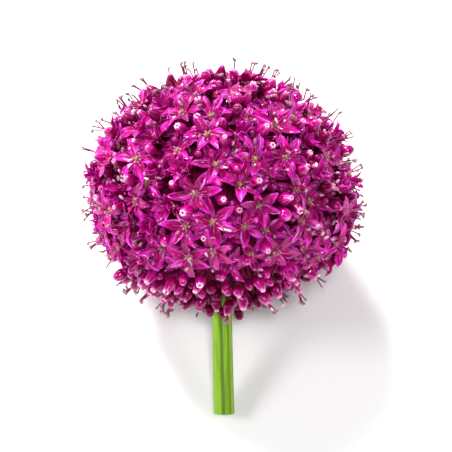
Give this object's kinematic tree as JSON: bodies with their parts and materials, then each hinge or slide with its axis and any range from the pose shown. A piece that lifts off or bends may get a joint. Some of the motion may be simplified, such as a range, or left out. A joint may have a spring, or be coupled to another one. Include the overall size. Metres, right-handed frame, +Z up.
{
  "type": "allium flower head",
  "caption": "Cut allium flower lying down: a dense magenta ball of starry florets and buds on a short ribbed green stalk.",
  "frame": {"origin": "on the surface the flower lies on, under the middle of its box", "axes": "+Z up; the ball lies towards +Y, and the stalk slopes down to its cut end at -Y; +X is to the right"},
  "size_m": [0.1039, 0.1194, 0.0963],
  "materials": {
    "petal": "satin",
    "stalk": "satin",
    "ovary": "satin",
    "anther": "matte",
    "pedicel": "matte"
  },
  "bodies": {
    "root": {"flower_head": "petal", "scape": "stalk"}
  },
  "joints": []
}
